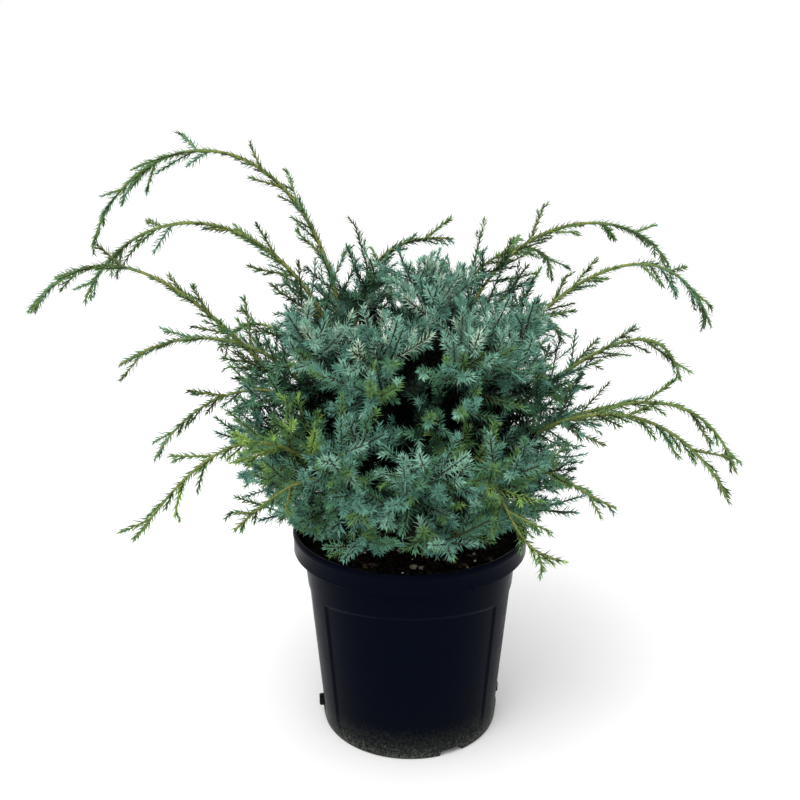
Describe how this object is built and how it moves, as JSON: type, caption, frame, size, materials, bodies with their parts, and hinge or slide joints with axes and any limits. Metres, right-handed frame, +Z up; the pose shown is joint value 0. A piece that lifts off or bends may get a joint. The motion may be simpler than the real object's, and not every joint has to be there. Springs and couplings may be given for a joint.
{
  "type": "potted blue alps chinese juniper",
  "caption": "Spreading blue-green juniper shrub with a dense crown and long arching shoots, growing in a round dark plastic nursery pot filled with bark compost.",
  "frame": {"origin": "centre of the pot's underside, on the ground", "axes": "+Z up, -Y towards the front of the plant as pictured, +X to its right"},
  "size_m": [0.6222, 0.5196, 0.5673],
  "materials": {
    "pot_plastic": "satin, dark navy, with dust and water marks near the foot",
    "compost_bark": "rough, damp bark and compost",
    "young_bark": "thin, olive-brown bark",
    "needles": "waxy blue-green needles"
  },
  "bodies": {
    "root": {"bough_back_3": "young_bark", "bough_left_1": "young_bark", "bough_left_2": "young_bark", "bough_left_3": "young_bark", "bough_left_6": "young_bark", "bough_right_1": "young_bark", "bough_right_2": "young_bark", "bough_right_3": "young_bark", "bough_right_4": "young_bark", "compost": "compost_bark", "crown_high_1": "needles", "crown_high_2": "needles", "crown_high_3": "needles", "crown_high_4": "needles", "crown_high_5": "needles", "crown_high_6": "needles", "crown_low_1": "needles", "crown_low_2": "needles", "crown_low_3": "needles", "crown_low_4": "needles", "crown_low_5": "needles", "crown_low_6": "needles", "crown_low_7": "needles", "crown_mid_1": "needles", "crown_mid_2": "needles", "crown_mid_3": "needles", "crown_mid_4": "needles", "crown_mid_5": "needles", "crown_mid_6": "needles", "crown_top_1": "needles", "pot": "pot_plastic", "shoot_back_1": "needles", "shoot_back_2": "needles", "shoot_back_3": "needles", "shoot_back_4": "needles", "shoot_back_5": "needles", "shoot_left_1": "needles", "shoot_left_1_tip": "needles", "shoot_left_2": "needles", "shoot_left_2_tip": "needles", "shoot_left_3": "needles", "shoot_left_3_tip": "needles", "shoot_left_4": "needles", "shoot_left_5": "needles", "shoot_left_6": "needles", "shoot_left_7": "needles", "shoot_right_1": "needles", "shoot_right_1_tip": "needles", "shoot_right_2": "needles", "shoot_right_2_tip": "needles", "shoot_right_3": "needles", "shoot_right_4": "needles", "shoot_right_5": "needles", "shoot_right_6": "needles", "shoot_right_7": "needles", "shoot_top_1": "needles", "shoot_top_2": "needles", "trunk": "young_bark"}
  },
  "joints": []
}
